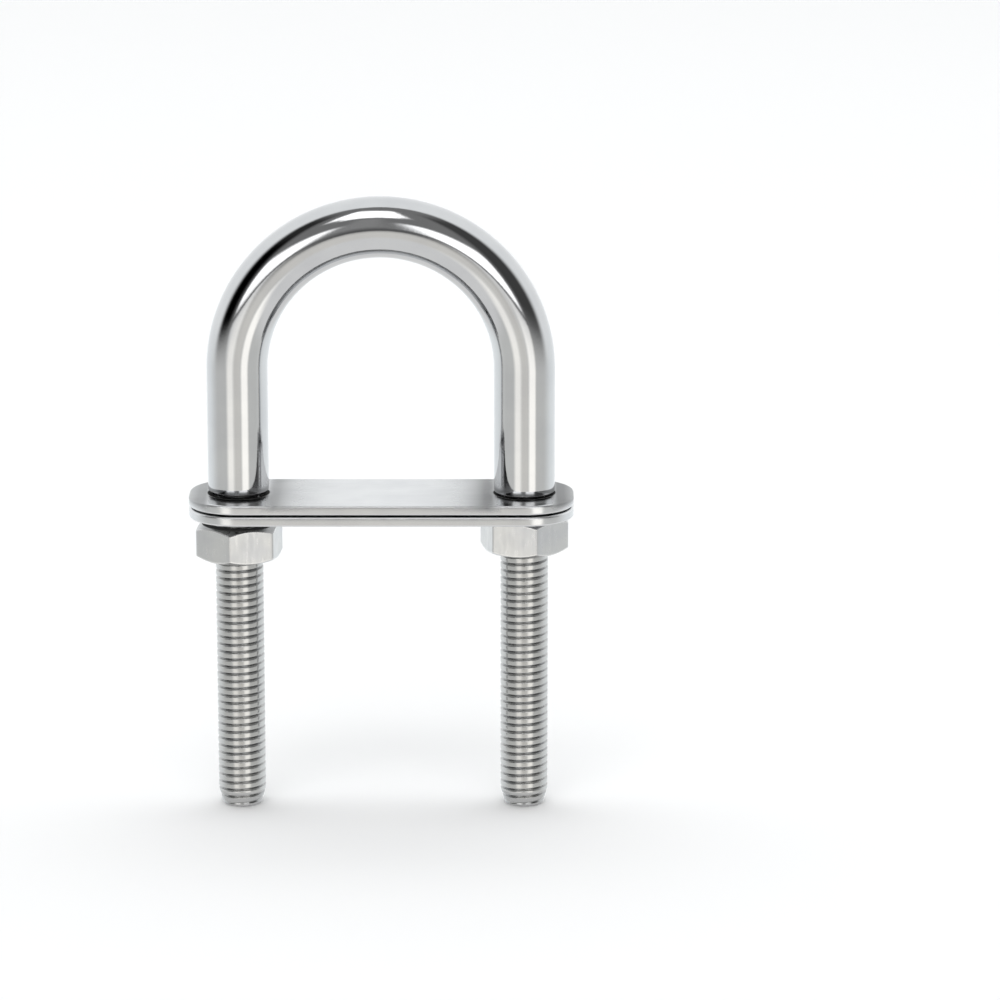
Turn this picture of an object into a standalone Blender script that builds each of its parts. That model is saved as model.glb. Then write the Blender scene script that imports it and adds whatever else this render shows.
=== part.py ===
"""Pad eye of the U-bolt pattern: a bent bar with two threaded legs, two plates and two hexagon nuts.

The origin is midway between the legs on the underside of the deck plate, the face that lies on the deck.
X runs from leg to leg, Z points up through the bow. All five pieces are one object each.
"""

from math import cos, pi, radians, tan

import bmesh
import bpy
from mathutils import Matrix, Vector

MM = 0.001

# The bar: its bow, and the distance between the two legs.
BAR_DIAMETER = 10.0 * MM
LEG_SPACING = 47.0 * MM
BOW_CENTRE_Z = 22.5 * MM
BAR_SIDES = 32
BOW_STEPS = 36

# The legs: a shoulder bears on the deck plate, and the M8 stud below it is drawn at its thread's outer diameter.
# The left shoulder was turned a little higher than the right one.
STUD_DIAMETER = 7.85 * MM
STUD_END_Z = -51.4 * MM
STUD_POINT_LENGTH = 2.5 * MM
STUD_POINT_DIAMETER = 6.4 * MM
SHOULDER_CHAMFER = 0.22 * MM
LEFT_SHOULDER_RISE = 0.25 * MM

# The two plates share one blank: a strip with round corners and two punched holes.
PLATE_LENGTH = 63.2 * MM
PLATE_WIDTH = 19.0 * MM
PLATE_THICKNESS = 1.6 * MM
PLATE_CORNER_RADIUS = 8.0 * MM
PLATE_CORNER_STEPS = 12
PLATE_EDGE_RADIUS = 0.35 * MM
PLATE_EDGE_STEPS = 2
HOLE_DIAMETER = 8.6 * MM
HOLE_SIDES = 32

# The nuts: plain hexagon nuts for the M8 thread, with a 30 degree chamfer on both ends.
NUT_ACROSS_FLATS = 13.0 * MM
NUT_HEIGHT = 5.8 * MM
NUT_FACE_DIAMETER = 12.3 * MM
NUT_BORE_DIAMETER = 8.25 * MM
NUT_COUNTERSINK_DIAMETER = 9.0 * MM
NUT_SIDES = 48
NUT_CHAMFER = radians(30)
# How far each nut is turned about its stud, and how far the left one is backed off from the plate.
LEFT_NUT_TURN = radians(-9.2)
RIGHT_NUT_TURN = radians(15.6)
LEFT_NUT_BACKED_OFF = 1.25 * MM

# Pieces that touch are drawn this far apart.
GAP = 0.3 * MM

LEG_X = LEG_SPACING / 2
DECK_PLATE_TOP_Z = PLATE_THICKNESS
BACKING_PLATE_TOP_Z = -GAP
BACKING_PLATE_UNDERSIDE_Z = BACKING_PLATE_TOP_Z - PLATE_THICKNESS


def clear_scene():
    for obj in list(bpy.data.objects):
        bpy.data.objects.remove(obj, do_unlink=True)


def steel(name, colour, roughness):
    """A stainless steel finish: its colour, and how rough it is from 0, a mirror, to 1."""
    material = bpy.data.materials.new(name)
    material.use_nodes = True
    shader = material.node_tree.nodes["Principled BSDF"]
    shader.inputs["Base Color"].default_value = (*colour, 1.0)
    shader.inputs["Metallic"].default_value = 1.0
    shader.inputs["Roughness"].default_value = roughness
    return material


def add_object(name, bm, material, location=(0, 0, 0), turn=0.0, parent=None):
    """Puts a finished bmesh in the scene, smooth on its round faces and sharp at its real edges."""
    bmesh.ops.recalc_face_normals(bm, faces=bm.faces)
    mesh = bpy.data.meshes.new(name)
    bm.to_mesh(mesh)
    bm.free()
    mesh.shade_smooth()
    mesh.set_sharp_from_angle(angle=radians(28))
    mesh.materials.append(material)
    obj = bpy.data.objects.new(name, mesh)
    obj.location = location
    obj.rotation_euler.z = turn
    obj.parent = parent
    bpy.context.scene.collection.objects.link(obj)
    return obj


def add_cutter(name, bm, location, parent):
    """A helper solid for a Boolean, which is no part of the object."""
    bmesh.ops.recalc_face_normals(bm, faces=bm.faces)
    mesh = bpy.data.meshes.new(name)
    bm.to_mesh(mesh)
    bm.free()
    obj = bpy.data.objects.new(name, mesh)
    obj.location = location
    obj.parent = parent
    obj.hide_render = True
    obj.display_type = "WIRE"
    bpy.context.scene.collection.objects.link(obj)
    return obj


def cut(obj, operation, cutter):
    boolean = obj.modifiers.new(cutter.name, "BOOLEAN")
    boolean.operation = operation
    boolean.solver = "EXACT"
    boolean.object = cutter


def turned(stations, sides):
    """A solid turned about Z. stations are its (z, radius) pairs from one end to the other."""
    bm = bmesh.new()
    first_z, first_radius = stations[0]
    ring = bmesh.ops.create_circle(
        bm,
        cap_ends=True,
        radius=first_radius,
        segments=sides,
        matrix=Matrix.Translation((0, 0, first_z)),
    )["verts"]
    edges = list({edge for vert in ring for edge in vert.link_edges})
    carry_ring(bm, edges, 0.0, stations[1:], first_radius)
    return bm


def carry_ring(bm, edges, centre_x, stations, radius):
    """Extrudes a ring of edges through (z, radius) stations about a vertical axis, then closes its end."""
    for z, next_radius in stations:
        made = bmesh.ops.extrude_edge_only(bm, edges=edges)["geom"]
        verts = [item for item in made if isinstance(item, bmesh.types.BMVert)]
        edges = [item for item in made if isinstance(item, bmesh.types.BMEdge)]
        edges = [edge for edge in edges if all(vert in verts for vert in edge.verts)]
        bmesh.ops.translate(bm, verts=verts, vec=(0, 0, z - verts[0].co.z))
        scale = next_radius / radius
        bmesh.ops.scale(
            bm,
            verts=verts,
            vec=(scale, scale, 1),
            space=Matrix.Translation((-centre_x, 0, -z)),
        )
        radius = next_radius
    bmesh.ops.contextual_create(bm, geom=edges)


def add_u_bolt(material, parent):
    """The bar: a half ring for the bow, with a straight leg, a shoulder and a stud carried down from each end."""
    bm = bmesh.new()
    right_ring = bmesh.ops.create_circle(
        bm,
        cap_ends=False,
        radius=BAR_DIAMETER / 2,
        segments=BAR_SIDES,
        matrix=Matrix.Translation((LEG_X, 0, BOW_CENTRE_Z)),
    )["verts"]
    right_edges = list({edge for vert in right_ring for edge in vert.link_edges})
    left_end = bmesh.ops.spin(
        bm,
        geom=right_edges,
        cent=(0, 0, BOW_CENTRE_Z),
        axis=(0, -1, 0),
        angle=pi,
        steps=BOW_STEPS,
    )["geom_last"]
    left_edges = [item for item in left_end if isinstance(item, bmesh.types.BMEdge)]
    for edges, centre_x, rise in ((right_edges, LEG_X, 0.0), (left_edges, -LEG_X, LEFT_SHOULDER_RISE)):
        shoulder_z = DECK_PLATE_TOP_Z + GAP + rise
        stations = (
            (shoulder_z + SHOULDER_CHAMFER, BAR_DIAMETER / 2),
            (shoulder_z, BAR_DIAMETER / 2 - SHOULDER_CHAMFER),
            (shoulder_z, STUD_DIAMETER / 2),
            (STUD_END_Z + STUD_POINT_LENGTH, STUD_DIAMETER / 2),
            (STUD_END_Z, STUD_POINT_DIAMETER / 2),
        )
        carry_ring(bm, edges, centre_x, stations, BAR_DIAMETER / 2)
    return add_object("u_bolt", bm, material, parent=parent)


def plate_blank():
    """The strip before its holes are punched, centred on the origin: round corners, then rounded rims."""
    bm = bmesh.new()
    bmesh.ops.create_cube(bm, size=1.0)
    bmesh.ops.scale(bm, verts=bm.verts, vec=(PLATE_LENGTH, PLATE_WIDTH, PLATE_THICKNESS))
    upright = [edge for edge in bm.edges if abs(edge.verts[0].co.z - edge.verts[1].co.z) > PLATE_THICKNESS / 2]
    bmesh.ops.bevel(
        bm,
        geom=upright,
        offset=PLATE_CORNER_RADIUS,
        offset_type="OFFSET",
        segments=PLATE_CORNER_STEPS,
        profile=0.5,
        affect="EDGES",
    )
    rims = [edge for edge in bm.edges if abs(edge.verts[0].co.z - edge.verts[1].co.z) < PLATE_THICKNESS / 2]
    bmesh.ops.bevel(
        bm,
        geom=rims,
        offset=PLATE_EDGE_RADIUS,
        offset_type="OFFSET",
        segments=PLATE_EDGE_STEPS,
        profile=0.5,
        affect="EDGES",
    )
    return bm


def add_plate(name, top_z, material, parent):
    """A plate whose origin is at its middle, with a clearance hole for each stud."""
    plate = add_object(name, plate_blank(), material, (0, 0, top_z - PLATE_THICKNESS / 2), parent=parent)
    reach = PLATE_THICKNESS
    for side, x in (("left", -LEG_X), ("right", LEG_X)):
        punch = turned(((-reach, HOLE_DIAMETER / 2), (reach, HOLE_DIAMETER / 2)), HOLE_SIDES)
        cut(plate, "DIFFERENCE", add_cutter(f"{name}_{side}_punch", punch, (x, 0, 0), plate))
    return plate


def add_nut(name, x, top_z, turn, material, plate):
    """A nut whose origin is at its middle on the stud's axis: a hexagon bar, chamfered, bored and countersunk."""
    half = NUT_HEIGHT / 2
    corner_radius = NUT_ACROSS_FLATS / 2 / cos(pi / 6)
    face_radius = NUT_FACE_DIAMETER / 2
    belly_radius = corner_radius + GAP
    belly_z = half - (belly_radius - face_radius) * tan(NUT_CHAMFER)
    bar = turned(((-half, corner_radius), (half, corner_radius)), 6)
    location = Vector((x, 0, top_z - half)) - plate.location
    nut = add_object(name, bar, material, location, turn, plate)

    blank = turned(
        ((-half, face_radius), (-belly_z, belly_radius), (belly_z, belly_radius), (half, face_radius)),
        NUT_SIDES,
    )
    cut(nut, "INTERSECT", add_cutter(f"{name}_chamfer", blank, location, plate))

    bore_radius = NUT_BORE_DIAMETER / 2
    mouth_radius = NUT_COUNTERSINK_DIAMETER / 2
    mouth_depth = mouth_radius - bore_radius
    reach = half + GAP
    drill = turned(
        (
            (-reach, mouth_radius + GAP),
            (mouth_depth - half, bore_radius),
            (half - mouth_depth, bore_radius),
            (reach, mouth_radius + GAP),
        ),
        NUT_SIDES,
    )
    cut(nut, "DIFFERENCE", add_cutter(f"{name}_drill", drill, location, plate))
    return nut


clear_scene()

polished_steel = steel("polished_steel", (0.78, 0.79, 0.80), 0.08)
plate_steel = steel("plate_steel", (0.74, 0.75, 0.76), 0.16)
nut_steel = steel("nut_steel", (0.70, 0.70, 0.69), 0.28)

pad_eye = bpy.data.objects.new("pad_eye", None)
bpy.context.scene.collection.objects.link(pad_eye)

add_u_bolt(polished_steel, pad_eye)
add_plate("deck_plate", DECK_PLATE_TOP_Z, plate_steel, pad_eye)
backing_plate = add_plate("backing_plate", BACKING_PLATE_TOP_Z, plate_steel, pad_eye)

nut_top_z = BACKING_PLATE_UNDERSIDE_Z - GAP
add_nut("left_nut", -LEG_X, nut_top_z - LEFT_NUT_BACKED_OFF, LEFT_NUT_TURN, nut_steel, backing_plate)
add_nut("right_nut", LEG_X, nut_top_z, RIGHT_NUT_TURN, nut_steel, backing_plate)
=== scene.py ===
"""A stainless U-bolt pad eye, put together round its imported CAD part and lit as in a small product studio."""

from math import pi, radians, tan

import bmesh
import bpy
import numpy as np
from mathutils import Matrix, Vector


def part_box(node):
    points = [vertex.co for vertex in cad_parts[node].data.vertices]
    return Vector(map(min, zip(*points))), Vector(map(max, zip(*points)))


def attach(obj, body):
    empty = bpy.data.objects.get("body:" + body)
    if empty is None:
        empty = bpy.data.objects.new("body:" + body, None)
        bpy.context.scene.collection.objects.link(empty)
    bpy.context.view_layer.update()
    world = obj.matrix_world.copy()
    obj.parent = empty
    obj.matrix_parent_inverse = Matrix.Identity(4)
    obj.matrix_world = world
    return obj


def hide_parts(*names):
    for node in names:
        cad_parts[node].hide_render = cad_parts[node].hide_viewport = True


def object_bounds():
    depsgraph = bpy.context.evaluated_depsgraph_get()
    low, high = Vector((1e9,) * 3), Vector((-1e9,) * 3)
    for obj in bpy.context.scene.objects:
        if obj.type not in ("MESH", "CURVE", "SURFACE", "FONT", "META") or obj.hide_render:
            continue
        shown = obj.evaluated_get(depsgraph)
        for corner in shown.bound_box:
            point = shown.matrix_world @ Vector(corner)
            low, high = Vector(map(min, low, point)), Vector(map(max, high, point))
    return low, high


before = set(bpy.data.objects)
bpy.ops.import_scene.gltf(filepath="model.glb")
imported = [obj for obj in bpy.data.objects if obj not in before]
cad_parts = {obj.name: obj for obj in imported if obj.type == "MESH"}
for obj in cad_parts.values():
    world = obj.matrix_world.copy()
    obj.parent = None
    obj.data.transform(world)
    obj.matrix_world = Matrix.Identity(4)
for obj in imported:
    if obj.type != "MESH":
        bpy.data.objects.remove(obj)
cad_box = [list(corner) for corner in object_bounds()]
scene = bpy.context.scene


# ---- Camera ----------------------------------------------------------------------------------------------
# A long lens 0.8 m away, square on to the two legs and 14 degrees above the deck plate, aimed a little to the
# right of the fitting.
camera_data = bpy.data.cameras.new("camera")
camera_data.lens = 174.9
camera_data.clip_start = 0.05
camera_data.clip_end = 50
camera = bpy.data.objects.new("camera", camera_data)
camera.location = (0.01949, -0.77600, 0.19378)
camera.rotation_euler = (radians(76), 0, 0)
scene.collection.objects.link(camera)
scene.camera = camera
scene.view_settings.view_transform = "Standard"


# ---- Studio ----------------------------------------------------------------------------------------------
# A pale tent: light grey walls behind and beside the fitting, two soft boxes either side of the camera, one
# overhead, and dark cards that draw the black bands on polished steel. Directions are degrees round from the
# front (x) and up from the floor (y).
world = bpy.data.worlds.new("studio")
scene.world = world
world.use_nodes = True
wn = world.node_tree.nodes
wl = world.node_tree.links
wn.clear()


def sky_math(operation, a, b=None):
    """One Math node. a and b are numbers or sockets."""
    node = wn.new("ShaderNodeMath")
    node.operation = operation
    for socket, value in zip(node.inputs, (a, b)):
        if isinstance(value, bpy.types.NodeSocket):
            wl.new(value, socket)
        elif value is not None:
            socket.default_value = value
    return node.outputs[0]


def sky_step(value, start, end):
    """0 at start and 1 at end, with an S-shaped rise between them."""
    node = wn.new("ShaderNodeMapRange")
    node.interpolation_type = "SMOOTHSTEP"
    wl.new(value, node.inputs["Value"])
    node.inputs["From Min"].default_value = start
    node.inputs["From Max"].default_value = end
    return node.outputs["Result"]


def sky_blend(mask, under, over):
    """Goes from under to over as mask rises from 0 to 1. Both are colours or sockets."""
    mix = wn.new("ShaderNodeMix")
    mix.data_type = "RGBA"
    wl.new(mask, mix.inputs[0])
    for socket, value in ((mix.inputs[6], under), (mix.inputs[7], over)):
        if isinstance(value, bpy.types.NodeSocket):
            wl.new(value, socket)
        else:
            socket.default_value = (*value, 1)
    return mix.outputs[2]


def sky_band(value, low, high, soft):
    """1 between low and high and 0 outside them, with each edge softened by soft on either side."""
    rise = sky_step(value, low - soft, low + soft)
    return sky_math("MULTIPLY", rise, sky_step(value, high + soft, high - soft))


def sky_panel(under, left, right, bottom, top, soft, level, tint):
    """Lays a soft-edged rectangle of one brightness over what is there already."""
    across = sky_band(azimuth, left, right, soft)
    mask = sky_math("MULTIPLY", across, sky_band(height, bottom, top, soft))
    return sky_blend(mask, under, [level * part for part in tint])


direction = wn.new("ShaderNodeTexCoord").outputs["Generated"]
split = wn.new("ShaderNodeSeparateXYZ")
wl.new(direction, split.inputs[0])
forward = sky_math("MULTIPLY", split.outputs["Y"], -1.0)
azimuth = sky_math("DEGREES", sky_math("ARCTAN2", split.outputs["X"], forward))
height = sky_math("DEGREES", sky_math("ARCSINE", split.outputs["Z"]))
turned_away = sky_math("ABSOLUTE", azimuth)

neutral = (1.0, 1.0, 1.0)
warm = (1.02, 1.0, 0.955)
room = (0.24, 0.24, 0.24)
tent = (1.08, 1.10, 1.11)
upper = sky_blend(sky_step(turned_away, 76, 104), room, tent)
for left, right, bottom, top, soft, level in (
    # Dark cards, two on the left and one on the right.
    (-86, -50, 0, 66, 9, 0.03),
    (-82, -56, 2, 44, 7, 0.0),
    (42, 84, 4, 66, 8, 0.07),
    # The light overhead.
    (-34, 14, 50, 72, 4, 2.2),
    (-22, 8, 46, 60, 3, 2.2),
    # The white fronts under the soft boxes, then the soft boxes themselves.
    (-44, -14, -30, 9, 5, 0.95),
    (6, 40, -30, 9, 5, 0.95),
    (-45, -13, 6, 25, 4, 2.1),
    (5, 37, 4, 27, 4, 2.1),
    # The camera and its stand, between them.
    (-11, -1, 10, 40, 3, 0.33),
):
    upper = sky_panel(upper, left, right, bottom, top, soft, level, neutral)

# What polished steel sees below the horizon: the soft boxes again, mirrored faintly in the glossy table.
table_front = (0.75, 0.755, 0.74)
table_back = (1.06, 1.10, 1.12)
table_near = (0.92, 0.92, 0.92)
lower = sky_blend(sky_step(turned_away, 72, 125), table_front, table_back)
for left, right, soft, level, tint in (
    (-12, 14, 5, 0.86, warm),
    (-37, -13, 7, 1.34, warm),
    (17, 42, 5, 1.55, warm),
):
    lower = sky_panel(lower, left, right, -120, 120, soft, level, tint)
lower = sky_blend(sky_step(height, -24, -36), lower, table_near)
sky = sky_blend(sky_step(height, -14, 5), lower, upper)
# The dark lens, just above and below the horizon.
sky = sky_panel(sky, -8, 3, -4, 4, 3, 0.12, neutral)
# The narrow gap between the table and the tent.
sky = sky_panel(sky, -48, 44, 1.0, 4.0, 1.5, 0.16, neutral)
background = wn.new("ShaderNodeBackground")
wl.new(sky, background.inputs["Color"])
output = wn.new("ShaderNodeOutputWorld")
wl.new(background.outputs[0], output.inputs["Surface"])

# The floor is a wide sheet of matt white board just under the ends of the studs.
floor_z = cad_box[0][2] - 0.0002
bpy.ops.mesh.primitive_circle_add(vertices=96, radius=6, fill_type="NGON", location=(0, 0, floor_z))
floor = bpy.context.object
floor.name = "floor"
board = bpy.data.materials.new("white_board")
board.use_nodes = True
board_shader = board.node_tree.nodes["Principled BSDF"]
board_shader.inputs["Base Color"].default_value = (0.93, 0.93, 0.93, 1)
board_shader.inputs["Roughness"].default_value = 0.9
board_shader.inputs["Specular IOR Level"].default_value = 0.1
floor.data.materials.append(board)
# Reflections look past the board to the studio's own lower half.
floor.visible_glossy = False

# A large diffuser overhead lights the board.
diffuser_data = bpy.data.lights.new("diffuser", "AREA")
diffuser_data.size = 2.4
diffuser_data.energy = 14
diffuser = bpy.data.objects.new("diffuser", diffuser_data)
diffuser.location = (0, 0, 1.5)
diffuser.visible_glossy = False
scene.collection.objects.link(diffuser)


# ---- Bow -------------------------------------------------------------------------------------------------
# One 10 mm stainless bar, bent cold into a half ring and buffed to a mirror on cloth wheels. The two
# straight legs stop at turned shoulders, with a small chamfer, that bear on the deck plate.
leg_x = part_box("right_nut")[0].x / 2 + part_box("right_nut")[1].x / 2
bar_radius = 0.0050
bow_radius = leg_x
bow_centre_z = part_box("u_bolt")[1].z - bar_radius - bow_radius
joint_gap = 0.0003
left_shoulder_rise = 0.00025
right_shoulder_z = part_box("deck_plate")[1].z + joint_gap
left_shoulder_z = right_shoulder_z + left_shoulder_rise
shoulder_chamfer = 0.00022


def skin(name, points, quads, uv, material, edge, painted_shade):
    """A mesh with its own UV in metres along and round the piece. Points that coincide, at a seam or a pole,
    become one. At each point, edge is 1 on a worn edge, and the last value is 1 where painted shade darkens the
    steel to a dull black, in gaps and crevices between parts."""
    mesh = bpy.data.meshes.new(name)
    mesh.from_pydata(points.reshape(-1, 3).tolist(), [], quads.reshape(-1, 4).tolist())
    layer = mesh.uv_layers.new(name="lay")
    layer.data.foreach_set("uv", uv.reshape(-1, 2)[quads.ravel()].astype(np.float32).ravel())
    for attribute, values in (("edge", edge), ("painted_shade", painted_shade)):
        at_points = np.broadcast_to(values, points.shape[:2]).astype(np.float32)
        mesh.attributes.new(attribute, "FLOAT", "POINT").data.foreach_set("value", at_points.ravel())
    bm = bmesh.new()
    bm.from_mesh(mesh)
    bmesh.ops.remove_doubles(bm, verts=bm.verts, dist=2e-6)
    bmesh.ops.dissolve_degenerate(bm, edges=bm.edges, dist=1e-7)
    bmesh.ops.delete(bm, geom=[vert for vert in bm.verts if not vert.link_faces], context="VERTS")
    bmesh.ops.recalc_face_normals(bm, faces=bm.faces)
    bm.to_mesh(mesh)
    bm.free()
    mesh.shade_smooth()
    mesh.set_sharp_from_angle(angle=radians(34))
    mesh.materials.append(material)
    obj = bpy.data.objects.new(name, mesh)
    scene.collection.objects.link(obj)
    return obj


def grid(points):
    """The quads between neighbouring points of a grid (rows, columns, 3), as an array (rows, columns, 4)."""
    rows, columns = points.shape[:2]
    index = np.arange(rows * columns).reshape(rows, columns)
    return np.stack([index[:-1, :-1], index[:-1, 1:], index[1:, 1:], index[1:, :-1]], axis=-1)


def steel_look(name, colour, tint, roughness, grain, grain_depth, dent_scale, dent_depth, worn_roughness):
    """Bare stainless steel. Streaks follow the piece's own UV, stains and handling marks its Object
    coordinates. grain is the streaks' scale along and across the piece, dent_scale that of the marks, and
    the depths are in metres."""
    material = bpy.data.materials.new(name)
    material.use_nodes = True
    nodes = material.node_tree.nodes
    links = material.node_tree.links
    shader = nodes["Principled BSDF"]

    def noise(vector, scale, detail, fineness=0.5):
        node = nodes.new("ShaderNodeTexNoise")
        node.inputs["Scale"].default_value = scale
        node.inputs["Detail"].default_value = detail
        node.inputs["Roughness"].default_value = fineness
        links.new(vector, node.inputs["Vector"])
        return node.outputs["Fac"]

    def spread(value, low, high, result_low=0.0, result_high=1.0):
        """Carries low to result_low and high to result_high, and goes no further at either end."""
        node = nodes.new("ShaderNodeMapRange")
        node.inputs["From Min"].default_value = low
        node.inputs["From Max"].default_value = high
        node.inputs["To Min"].default_value = result_low
        node.inputs["To Max"].default_value = result_high
        links.new(value, node.inputs["Value"])
        return node.outputs["Result"]

    def painted(attribute):
        node = nodes.new("ShaderNodeAttribute")
        node.attribute_name = attribute
        return node.outputs["Fac"]

    def coat(mask, under, over):
        """Goes from the colour under to the colour over as mask rises from 0 to 1. under may be a socket."""
        node = nodes.new("ShaderNodeMix")
        node.data_type = "RGBA"
        links.new(mask, node.inputs[0])
        if isinstance(under, bpy.types.NodeSocket):
            links.new(under, node.inputs[6])
        else:
            node.inputs[6].default_value = (*under, 1)
        node.inputs[7].default_value = (*over, 1)
        return node.outputs[2]

    def change(mask, under, over):
        """The same for a socket's value and a number."""
        node = nodes.new("ShaderNodeMix")
        node.data_type = "FLOAT"
        links.new(mask, node.inputs[0])
        links.new(under, node.inputs[2])
        node.inputs[3].default_value = over
        return node.outputs[0]

    def relief(height, depth, under=None):
        node = nodes.new("ShaderNodeBump")
        node.inputs["Distance"].default_value = depth
        links.new(height, node.inputs["Height"])
        if under is not None:
            links.new(under, node.inputs["Normal"])
        return node.outputs[0]

    place = nodes.new("ShaderNodeTexCoord").outputs["Object"]
    lay = nodes.new("ShaderNodeUVMap")
    lay.uv_map = "lay"
    stretch = nodes.new("ShaderNodeMapping")
    stretch.inputs["Scale"].default_value = (*grain, 1)
    links.new(lay.outputs[0], stretch.inputs["Vector"])
    streaks = noise(stretch.outputs[0], 1.0, 5, 0.62)
    stains = noise(place, 170, 4)
    dents = noise(place, dent_scale, 3)
    worn = painted("edge")
    shade_mask = painted("painted_shade")

    stained = coat(spread(stains, 0.38, 0.66), colour, tint)
    burnished = coat(worn, stained, [min(1.0, part * 1.18) for part in colour])
    # Painted shade turns the colour near black.
    links.new(coat(shade_mask, burnished, (0.012, 0.011, 0.010)), shader.inputs["Base Color"])
    # Where shade is painted in, the surface is a dull non-metal.
    bare = nodes.new("ShaderNodeMath")
    bare.operation = "SUBTRACT"
    bare.inputs[0].default_value = 1.0
    links.new(shade_mask, bare.inputs[1])
    links.new(bare.outputs[0], shader.inputs["Metallic"])
    shader.inputs["Specular IOR Level"].default_value = 0.15

    gloss = spread(streaks, 0.3, 0.7, roughness * 0.72, roughness * 1.32)
    rubbed = change(worn, gloss, worn_roughness)
    links.new(change(shade_mask, rubbed, 0.7), shader.inputs["Roughness"])
    drawn = relief(streaks, grain_depth)
    links.new(relief(dents, dent_depth, drawn), shader.inputs["Normal"])
    return material


def bent_bar(steps_along=220, steps_round=96):
    """A circle of the bar's radius carried up the left leg, over half a ring and down the right leg. At
    each end it shrinks by the chamfer, then to the middle of the shoulder's flat face."""
    arc = np.linspace(pi, 0, steps_along)
    flat = 0 * arc
    over_x, over_z = np.cos(arc), np.sin(arc)
    arc_centre = np.stack([bow_radius * over_x, flat, bow_centre_z + bow_radius * over_z], axis=-1)
    rise = np.linspace(0, 1, 24)[:-1]
    # The end: three rings on the flat face, the chamfer's lower edge, and a ring that rounds its upper edge.
    face = [0.0, 0.6, 0.8, 1 - shoulder_chamfer / bar_radius]
    shrink = np.array(face + [1 - 0.3 * shoulder_chamfer / bar_radius])
    legs = []
    for side, shoulder_z in ((-1, left_shoulder_z), (1, right_shoulder_z)):
        end_z = np.array([shoulder_z] * len(face) + [shoulder_z + 0.35 * shoulder_chamfer])
        straight = shoulder_z + shoulder_chamfer + (bow_centre_z - shoulder_z - shoulder_chamfer) * rise
        z = np.concatenate([end_z, straight])
        legs.append(np.stack([side * leg_x + 0 * z, 0 * z, z], axis=-1))
    centre = np.concatenate([legs[0], arc_centre, legs[1][::-1]])
    leg_rows = len(shrink) + len(rise)
    left_out = np.tile([-1.0, 0, 0], (leg_rows, 1))
    outward = np.concatenate([left_out, np.stack([over_x, flat, over_z], axis=-1), -left_out])
    full = np.ones(len(rise))
    size = np.concatenate([shrink, full, np.ones(steps_along), full, shrink[::-1]]) * bar_radius
    turn = np.linspace(0, 2 * pi, steps_round + 1)
    across = np.array([0.0, 1.0, 0.0])
    around = np.cos(turn)[None, :, None] * outward[:, None, :] + np.sin(turn)[None, :, None] * across
    points = centre[:, None, :] + size[:, None, None] * around
    step = np.linalg.norm(np.diff(centre, axis=0), axis=1)
    along = np.concatenate([[0], np.cumsum(step)])
    uv = np.stack(np.broadcast_arrays(along[:, None], turn[None, :] * bar_radius), axis=-1)
    # Every ring smaller than the bar is on the shoulder, where shade is painted in over the crevice above the
    # deck plate.
    shade_amount = (size < 0.999 * bar_radius).astype(float)
    return points, uv, 0.0, shade_amount[:, None]


mirror_steel = steel_look(
    "mirror_steel", (0.61, 0.615, 0.62), (0.575, 0.58, 0.59), 0.07, (60, 2600), 3.0e-7, 1800, 3.0e-6, 0.12
)
points, uv, edge, painted_shade = bent_bar()
bow = skin("bow", points, grid(points), uv, mirror_steel, edge, painted_shade)
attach(bow, "u_bolt")
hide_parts("u_bolt")


# ---- Studs -----------------------------------------------------------------------------------------------
# The legs go on below the shoulders as M8 studs. Their threads are rolled, so the crests are a little round
# and burnished, and each stud ends in a pointed chamfer that the last turns run out on.
pitch = 0.00125
thread_radius = 0.003925
stud_end_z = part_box("u_bolt")[0].z
point_length = 0.0025
point_radius = 0.0032
neck_radius = 0.0034
neck_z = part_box("deck_plate")[0].z + 0.0006


def thread_depth(phase):
    """How far the rolled profile lies below its crest: the lower of a 60 degree flank and the root's depth,
    and never less than 0, with each corner rounded by a hyperbola. phase counts turns, and a crest is at
    each whole number."""
    half_crest = 0.31 * pitch
    corner = 0.00006
    root = 0.00034
    away = np.abs((phase + 0.5) % 1.0 - 0.5) * pitch
    flank = (away - half_crest) * tan(radians(60))
    crested = (flank + np.sqrt(flank**2 + corner**2)) / 2
    return (crested + root - np.sqrt((crested - root) ** 2 + (2 * corner) ** 2)) / 2


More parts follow.
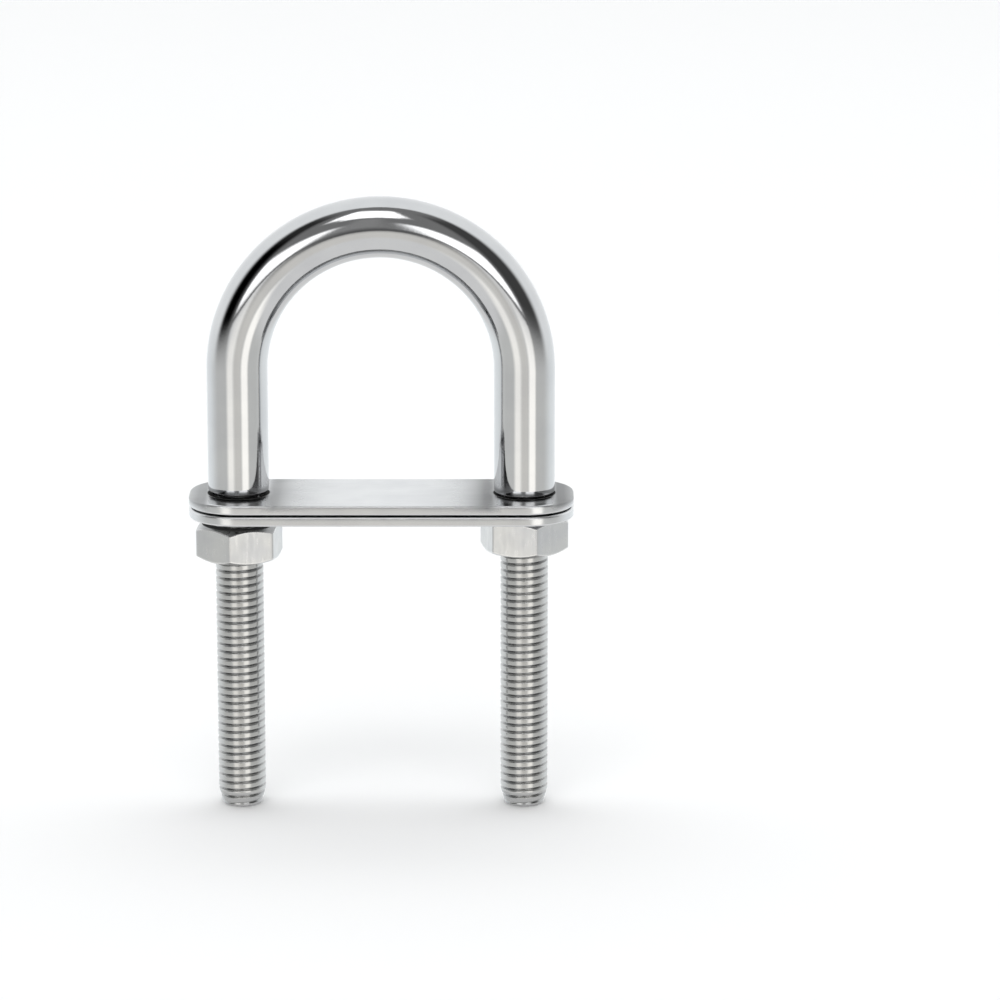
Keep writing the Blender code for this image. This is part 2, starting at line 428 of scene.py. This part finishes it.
def rolled_stud(centre_x, top_z, columns=64):
    """A helical surface: rows follow the thread's helix, so that each crest is one unbroken line, and each
    column goes down the stud. Past either end the rows run over its flat face to the middle, which closes
    the solid."""
    half_profile = np.array([0.0, 0.12, 0.22, 0.27, 0.295, 0.32, 0.35, 0.39, 0.43, 0.465])
    profile = np.concatenate([[-0.5], -half_profile[:0:-1], half_profile])
    turns = np.arange(-2, int((top_z - stud_end_z) / pitch) + 3)
    rows = (turns[:, None] + profile[None, :]).ravel()
    turn = np.linspace(0, 2 * pi, columns + 1)
    climb = rows[:, None] + turn[None, :] / (2 * pi)
    z = np.round(stud_end_z / pitch) * pitch + climb * pitch
    # The point's cone, with the groove running out over its last turn.
    above_end = z - stud_end_z
    cone = point_radius + above_end * (thread_radius - point_radius) / point_length
    run_out = np.clip(above_end / (0.8 * pitch), 0, 1)
    groove = thread_depth(z / pitch - turn[None, :] / (2 * pi)) * run_out
    radius = np.clip(cone, 0, thread_radius) - groove
    # The plain neck inside the deck plate's hole.
    plain = np.clip((z - neck_z) / 0.0006, 0, 1)
    radius = radius * (1 - plain) + neck_radius * plain
    # The flat faces at both ends.
    under = np.clip(-above_end / (0.75 * pitch), 0, 1)
    over = np.clip((z - top_z) / (0.75 * pitch), 0, 1)
    radius = np.where(z > top_z, neck_radius * (1 - over), radius)
    radius = np.where(z < stud_end_z, point_radius * (1 - under), radius)
    z = np.clip(z, stud_end_z, top_z)
    points = np.stack([centre_x + radius * np.cos(turn), radius * np.sin(turn), z], axis=-1)
    uv = np.stack(np.broadcast_arrays(turn[None, :] * thread_radius, z), axis=-1)
    near_crest = np.clip(1 - (thread_radius - radius) / 0.00009, 0, 1)
    # Shade is painted on the neck above the deck plate, in the gap under the shoulder.
    shade_amount = np.clip((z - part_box("deck_plate")[1].z) / 0.0002, 0, 1)
    return points, uv, near_crest, shade_amount


rolled_steel = steel_look(
    "rolled_steel", (0.45, 0.45, 0.445), (0.395, 0.40, 0.405), 0.24, (500, 7000), 2.0e-6, 1500, 2.0e-6, 0.18
)
into_shoulder = 0.0002
for name, centre_x, shoulder_z in (
    ("left_stud", -leg_x, left_shoulder_z),
    ("right_stud", leg_x, right_shoulder_z),
):
    points, uv, edge, painted_shade = rolled_stud(centre_x, shoulder_z + into_shoulder)
    stud = skin(name, points, grid(points), uv, rolled_steel, edge, painted_shade)
    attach(stud, "u_bolt")
    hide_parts("u_bolt")


# ---- Plates ----------------------------------------------------------------------------------------------
# Two stampings of 1.6 mm stainless sheet with round ends and two punched holes. They were tumbled, which
# rounds every rim a little, and the upper one was polished on its face. The lower one goes under the deck.
plate_low, plate_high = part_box("deck_plate")
half_length = plate_high.x
half_width = plate_high.y
thickness = plate_high.z - plate_low.z
corner_radius = 0.0080
rim_radius = 0.00035
hole_radius = 0.0043
lip_radius = 0.00016
# Shade is painted round each hole out to this radius.
shade_radius = 0.00505
shade_fade = 0.00015


def outline(inset):
    """The right half of the plate's edge, moved in by inset: from the middle of the front edge round the
    two corners to the middle of the back edge, with the middle line of the plate closing it."""
    quarter = np.linspace(0, pi / 2, 25)
    radius = corner_radius - inset
    x_mid = half_length - corner_radius
    y_mid = half_width - corner_radius
    x_run = np.linspace(0, x_mid, 20)[:-1]
    y_run = np.linspace(-y_mid, y_mid, 7)[1:-1]
    front = np.stack([x_run, np.full_like(x_run, -(half_width - inset))], axis=-1)
    corner_front = np.stack([x_mid + radius * np.sin(quarter), -y_mid - radius * np.cos(quarter)], axis=-1)
    end = np.stack([np.full_like(y_run, half_length - inset), y_run], axis=-1)
    corner_back = corner_front[::-1] * [1, -1]
    back = front[::-1] * [1, -1]
    middle_y = np.linspace(half_width - inset, inset - half_width, 22)[1:]
    middle = np.stack([np.zeros_like(middle_y), middle_y], axis=-1)
    return np.concatenate([front, corner_front, end, corner_back, back, middle])


def shade_beside_leg(x, side):
    """The painted shade at each x beside a leg: its full amount up to 6.5 mm from the leg's axis, then the full
    amount * exp(-distance / 3.6 mm). It runs from front to back across the plate, and in front of the leg there
    is none."""
    full_shade = 0.6 if side > 0 else 0.46
    aside = np.abs(x - leg_x)
    clear_of_leg = np.clip((aside - 0.0042) / 0.0012, 0, 1)
    return full_shade * np.exp(np.minimum((0.0065 - aside) / 0.0036, 0)) * clear_of_leg


def stamped_half(top_z, side, has_shoulder):
    """Rings between the hole and the outline, carried over the whole cross-section: up the hole's wall, out
    over the top face, round the rim, and back under. Each ring is the outline at one height, or a blend
    towards the hole."""
    edge_line = outline(0.0)
    face_line = outline(rim_radius)
    heading = np.arctan2(face_line[:, 1], face_line[:, 0] - leg_x)
    unit = np.stack([np.cos(heading), np.sin(heading)], axis=-1)
    hole_middle = np.array([leg_x, 0.0])
    foot_line = hole_middle + unit * (shade_radius + shade_fade)
    # Each row of the upper half: its ring, its height from the top face, its wear and its painted shade.
    rows = []
    for angle in np.linspace(0, pi / 2, 6)[::-1]:
        ring = hole_middle + unit * (hole_radius + lip_radius - lip_radius * np.sin(angle))
        rows.append((ring, lip_radius * np.cos(angle) - lip_radius, 1.0, 1.0))
    rows.append((hole_middle + unit * shade_radius, 0.0, 0.0, 1.0))
    rows.append((foot_line, 0.0, 0.0, 0.0))
    for share in np.linspace(0.04, 0.97, 24):
        rows.append((foot_line * (1 - share) + face_line * share, 0.0, 0.0, 0.0))
    for angle in np.linspace(0, pi / 2, 8):
        share = np.sin(angle)
        ring = face_line * (1 - share) + edge_line * share
        rows.append((ring, rim_radius * np.cos(angle) - rim_radius, np.sin(2 * angle), 0.0))
    rings, heights, worn, shade_amount = (np.array(part) for part in zip(*rows))
    # The lower half mirrors it. The painted shade round the holes is on top under the shoulders, and below on
    # the other plate, over the nuts.
    rings = np.concatenate([rings, rings[::-1]])
    heights = np.concatenate([heights, -thickness - heights[::-1]])
    worn = np.concatenate([worn, worn[::-1]])
    below = 0.0 if has_shoulder else 0.9
    shade_amount = np.concatenate([shade_amount * has_shoulder, shade_amount[::-1] * below])
    closed = np.arange(len(rings) + 1) % len(rings)
    rings, heights, worn, shade_amount = rings[closed], heights[closed], worn[closed], shade_amount[closed]
    across = np.concatenate([rings, rings[:, :1]], axis=1)
    z = np.broadcast_to((top_z + heights)[:, None, None], across.shape[:2] + (1,))
    points = np.concatenate([across, z], axis=-1)
    on_top = (heights > -thickness / 2)[:, None]
    shade_amount = np.maximum(shade_amount[:, None], shade_beside_leg(points[..., 0], side) * on_top * has_shoulder)
    points[..., 0] = points[..., 0] * side
    uv = np.stack([points[..., 0], points[..., 1] + points[..., 2]], axis=-1)
    return points, uv, np.broadcast_to(worn[:, None], points.shape[:2]), shade_amount


def stamped_plate(name, top_z, material, has_shoulder):
    """The two halves as one sheet. The walls between them, on the middle line, are taken out."""
    halves = [stamped_half(top_z, side, has_shoulder) for side in (1, -1)]
    points, uv, worn, shade_amount = (np.concatenate(parts, axis=1) for parts in zip(*halves))
    quads = grid(points)
    on_middle = np.abs(points[..., 0]) < 1e-9
    wall = on_middle[:-1, :-1] & on_middle[:-1, 1:] & on_middle[1:, 1:] & on_middle[1:, :-1]
    # The last column of one half and the first of the other aren't neighbours.
    wall[:, halves[0][0].shape[1] - 1] = True
    return skin(name, points, quads[~wall], uv, material, worn, shade_amount)


sheet_steel = steel_look(
    "sheet_steel", (0.66, 0.665, 0.67), (0.61, 0.615, 0.625), 0.18, (90, 900), 1.2e-6, 900, 1.0e-6, 0.40
)
for name, body, has_shoulder in (("deck_plate", "u_bolt", True), ("backing_plate", "backing_plate", False)):
    plate = stamped_plate(name + "_sheet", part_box(name)[1].z, sheet_steel, has_shoulder)
    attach(plate, body)
    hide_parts(name)


# ---- Nuts ------------------------------------------------------------------------------------------------
# Plain M8 hexagon nuts, 13 mm across the flats, cut from bar: both ends chamfered at 30 degrees, the thread
# tapped right through and countersunk. They are satin from tumbling. The left one is backed off by one
# turn.
flat_distance = 0.0065
nut_face_radius = 0.00615
countersink_radius = 0.0045
thread_clearance = 0.00011
left_nut_turn = radians(-9.2)
right_nut_turn = radians(15.6)


def hex_radius(turn):
    """The distance to a hexagon's side in each direction: flat_distance / (sum of cos**power)**(1 / power)
    over its six sides. A high power keeps the sides flat and rounds the corners a little."""
    power = 90
    sides = np.maximum(np.cos(turn[:, None] - np.arange(6) * pi / 3), 0)
    return flat_distance / (sides**power).sum(axis=1) ** (1 / power)


def tapped_nut(centre_x, middle_z, half_height, turned):
    """A closed profile carried round the bore: up the thread, over the countersink, the end face, the
    chamfer, the flat and the same on the other end. In each direction its radius is the hexagon's there."""
    sixth = np.radians([-30, -29.3, -28.5, -27, -24, -18, -9, 0, 9, 18, 24, 27, 28.5, 29.3])
    turn = np.concatenate([sixth + k * pi / 3 for k in range(6)] + [sixth[:1] + 2 * pi])
    world_turn = turn + turned
    outer = hex_radius(turn)
    level = 0 * outer

    # The thread, cut away by the countersink at both ends.
    tapped_z = np.linspace(middle_z - half_height, middle_z + half_height, 96)
    phase = tapped_z[:, None] / pitch - world_turn[None, :] / (2 * pi)
    from_end = half_height - np.abs(tapped_z - middle_z)
    bore = thread_radius + thread_clearance - thread_depth(phase)
    bore = np.maximum(bore, (countersink_radius - from_end)[:, None])

    # Each row of the upper half, from the bore outwards: its radius, how far it lies below the end, its wear
    # and its painted shade, which darkens the end face in the gap under the backing plate. First the end face,
    # then the chamfer, its worn corner and half of the flat.
    chamfer_drop = (outer - nut_face_radius) * tan(radians(30))
    rows = [
        (level + radius, level, 0.0, 0.9)
        for radius in (countersink_radius + 0.0001, 0.0052, 0.0058, nut_face_radius - 0.0001)
    ]
    rows.append((level + nut_face_radius, level + 0.000008, 0.4, 0.5))
    for share, wear in ((0.06, 0.35), (0.25, 0.0), (0.5, 0.0), (0.75, 0.0), (0.94, 0.35)):
        radius = nut_face_radius + (outer - nut_face_radius) * share
        rows.append((radius, chamfer_drop * share + 0.000004, wear, 0.0))
    rows.append((outer - 0.00001, chamfer_drop + 0.00001, 1.0, 0.0))
    rows.append((outer, chamfer_drop + 0.00007, 0.6, 0.0))
    flat_start = chamfer_drop + 0.00022
    for share in (0.0, 0.25, 0.6):
        rows.append((outer, flat_start + (half_height - flat_start) * share, 0.0, 0.0))
    radius, drop, wear, shade_amount = (np.array(part) for part in zip(*rows))

    # The lower end is the same, without the painted shade. The bore is darkened with painted shade all along.
    # The first row comes again to close the profile.
    radius = np.concatenate([bore, radius, radius[::-1], bore[:1]])
    tapped = np.broadcast_to(tapped_z[:, None], bore.shape)
    upper_z = middle_z + half_height - drop
    lower_z = middle_z - half_height + drop[::-1]
    z = np.concatenate([tapped, upper_z, lower_z, tapped[:1]])
    wear = np.concatenate([0 * tapped_z, wear, wear[::-1], [0.0]])
    shade_amount = np.concatenate([0 * tapped_z + 0.9, shade_amount, 0 * shade_amount, [0.9]])
    points = np.stack([centre_x + radius * np.cos(world_turn), radius * np.sin(world_turn), z], axis=-1)
    points[:, -1] = points[:, 0]
    uv = np.stack([turn * flat_distance + 0 * z, z + radius], axis=-1)
    return points, uv, wear[:, None], shade_amount[:, None]


nut_steel = steel_look(
    "nut_steel", (0.66, 0.66, 0.65), (0.60, 0.605, 0.615), 0.32, (1400, 260), 1.1e-6, 900, 4.0e-6, 0.2
)
for name, turned in (("left_nut", left_nut_turn), ("right_nut", right_nut_turn)):
    low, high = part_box(name)
    middle = (low + high) / 2
    points, uv, wear, shade_amount = tapped_nut(middle.x, middle.z, (high.z - low.z) / 2, turned)
    nut = skin(name + "_hexagon", points, grid(points), uv, nut_steel, wear, shade_amount)
    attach(nut, name)
    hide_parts(name)
